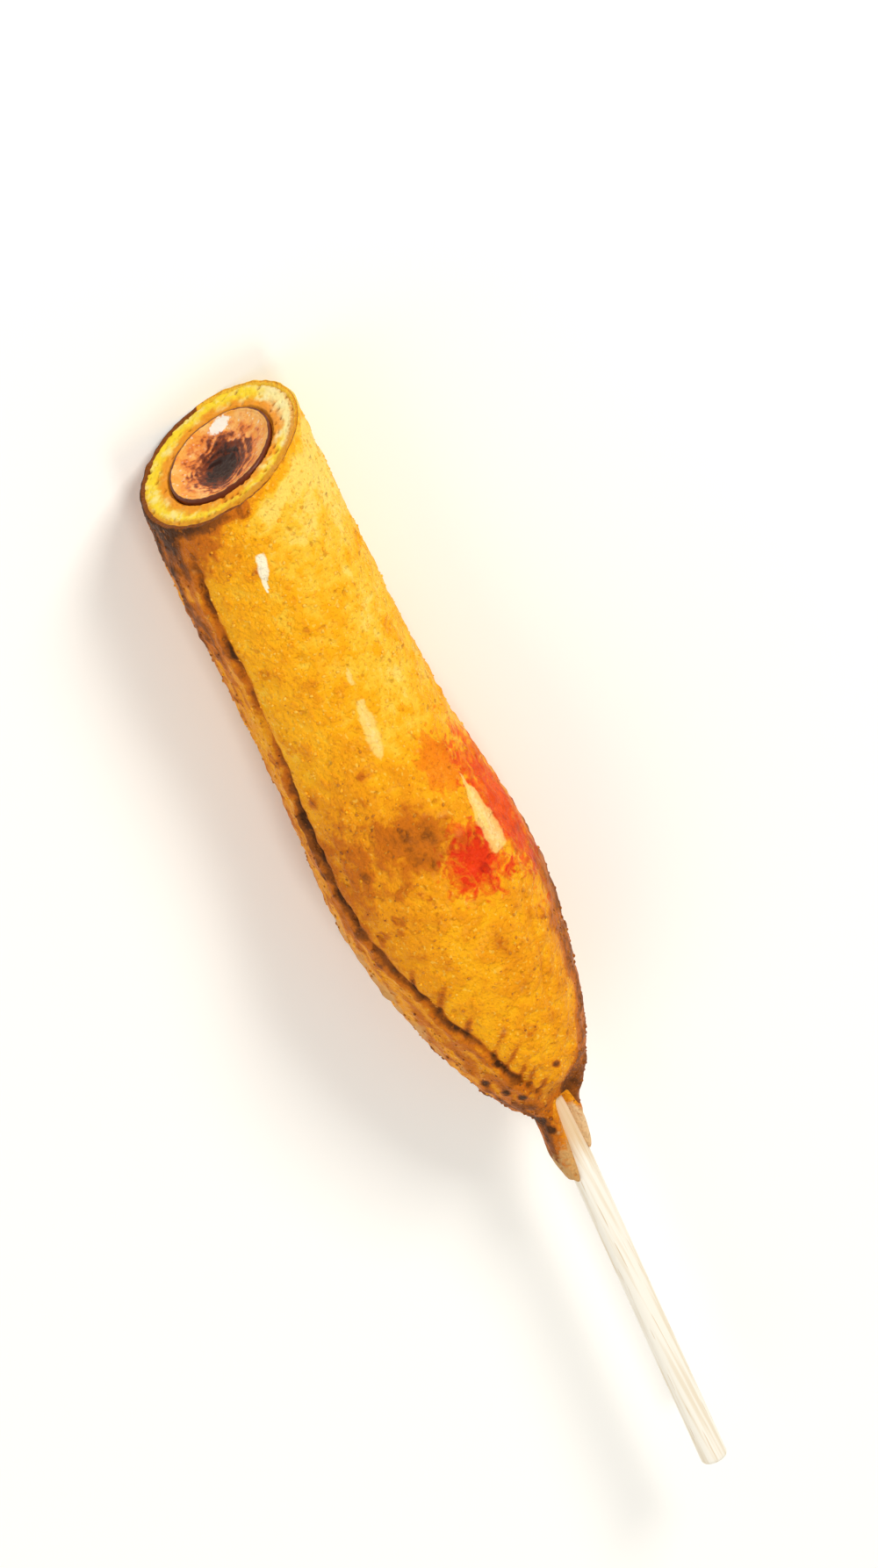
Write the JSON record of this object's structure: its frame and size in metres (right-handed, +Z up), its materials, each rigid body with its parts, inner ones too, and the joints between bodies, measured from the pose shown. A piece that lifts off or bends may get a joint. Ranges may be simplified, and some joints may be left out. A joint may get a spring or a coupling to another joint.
{
  "type": "corn dog",
  "caption": "Fried cornmeal-coated sausage on a round wooden stick, lying on its side, with its far end cut off to show the sausage inside the coat.",
  "frame": {"origin": "bottom centre of the whole object's box, on the surface it lies on", "axes": "+X along the corn dog towards its cut end, +Z up, the stick towards -X"},
  "size_m": [0.2398, 0.0418, 0.0413],
  "materials": {
    "fried_batter": "golden fried cornmeal crust, lightly oily",
    "sausage_meat": "moist cooked sausage meat with a darker core",
    "birch": "plain sanded birch dowel"
  },
  "bodies": {
    "root": {"batter_coat": "fried_batter", "sausage": "sausage_meat", "stick": "birch"}
  },
  "joints": []
}
